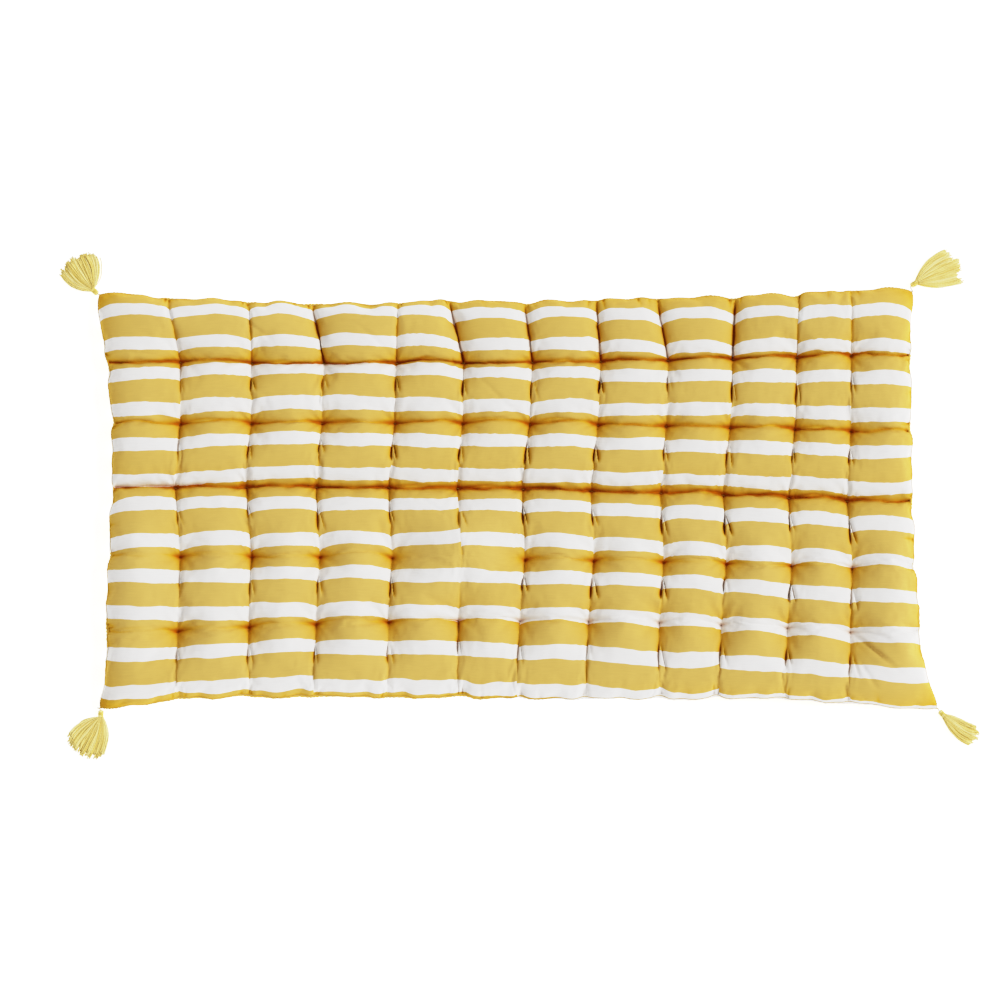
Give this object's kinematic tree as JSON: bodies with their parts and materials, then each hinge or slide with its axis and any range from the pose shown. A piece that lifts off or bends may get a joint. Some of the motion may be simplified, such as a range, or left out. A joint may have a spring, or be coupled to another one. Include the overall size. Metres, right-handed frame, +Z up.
{
  "type": "tufted floor mattress",
  "caption": "Flat filled floor mattress in striped cotton, tied through in a lattice of soft puffs, with a yarn tassel at each corner.",
  "frame": {"origin": "on the floor below the middle of the whole outline, tassels included", "axes": "+X along the length, to the right in the picture; +Y to the back edge, up in the picture; +Z up from the floor"},
  "size_m": [1.3778, 0.7714, 0.064],
  "materials": {
    "striped_cotton": "plain-woven cotton, matt, printed in mustard and white stripes",
    "tassel_yarn": "soft lemon yarn, matt, cut ends",
    "binding_thread": "lemon thread wound tight, slight sheen",
    "hanging_cord": "white twisted cotton cord"
  },
  "bodies": {
    "root": {"mattress": "striped_cotton", "tassel_back_left": "tassel_yarn", "tassel_back_right": "tassel_yarn", "tassel_front_right": "tassel_yarn", "tassel_front_left": "tassel_yarn", "binding_back_left": "binding_thread", "binding_back_right": "binding_thread", "binding_front_right": "binding_thread", "binding_front_left": "binding_thread", "hanger_back_left": "hanging_cord", "hanger_back_right": "hanging_cord", "hanger_front_right": "hanging_cord", "hanger_front_left": "hanging_cord"}
  },
  "joints": []
}
